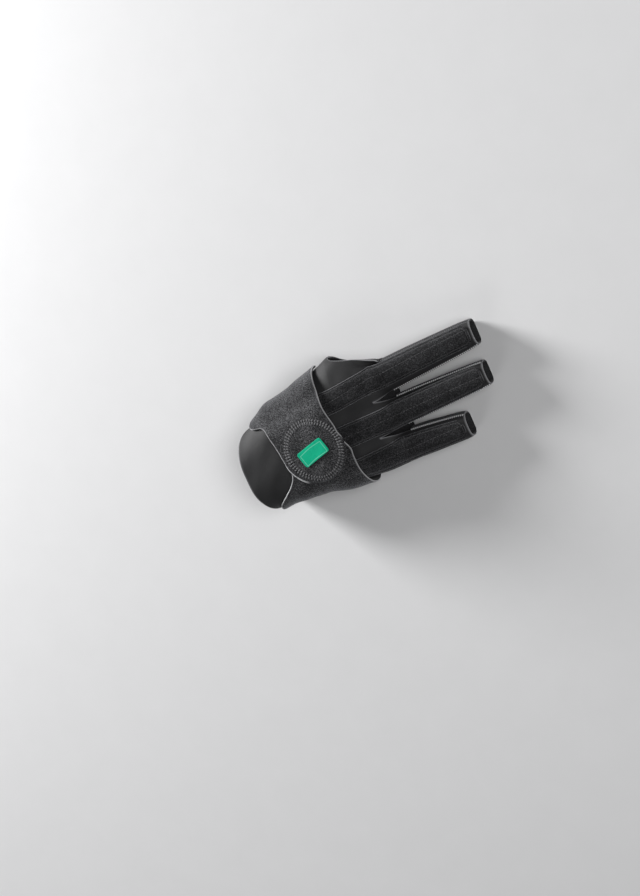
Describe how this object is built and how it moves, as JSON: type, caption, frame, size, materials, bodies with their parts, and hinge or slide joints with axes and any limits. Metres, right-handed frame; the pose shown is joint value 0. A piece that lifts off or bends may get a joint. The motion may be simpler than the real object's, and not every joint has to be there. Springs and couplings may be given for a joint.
{
  "type": "hand orthosis",
  "caption": "Open-fingertip fabric hand orthosis with padded stay channels over three fingers and a wrap-over closure strap, for a right hand lying palm down.",
  "frame": {"origin": "on the flat underside of the wrap, under the middle of the palm", "axes": "+X from the wrist to the fingertips, +Y to the thumb side, +Z out of the back of the hand"},
  "size_m": [0.1945, 0.0975, 0.0488],
  "materials": {
    "knit": "smooth black laminated knit with a soft sheen",
    "cover_knit": "thin black elastic knit, matte",
    "velour": "black looped velour, matte with grey flecks",
    "hook": "black hook tape",
    "label_green": "green woven label, satin"
  },
  "bodies": {
    "root": {"back_panel": "knit", "palm_panel": "knit", "finger_cover_middle": "cover_knit", "finger_cover_ring": "cover_knit", "finger_cover_little": "cover_knit", "stay_channel_middle": "velour", "stay_channel_ring": "velour", "stay_channel_little": "velour", "hand_wrap": "velour", "closure_patch": "hook", "closure_strap": "velour", "woven_label": "label_green"}
  },
  "joints": []
}
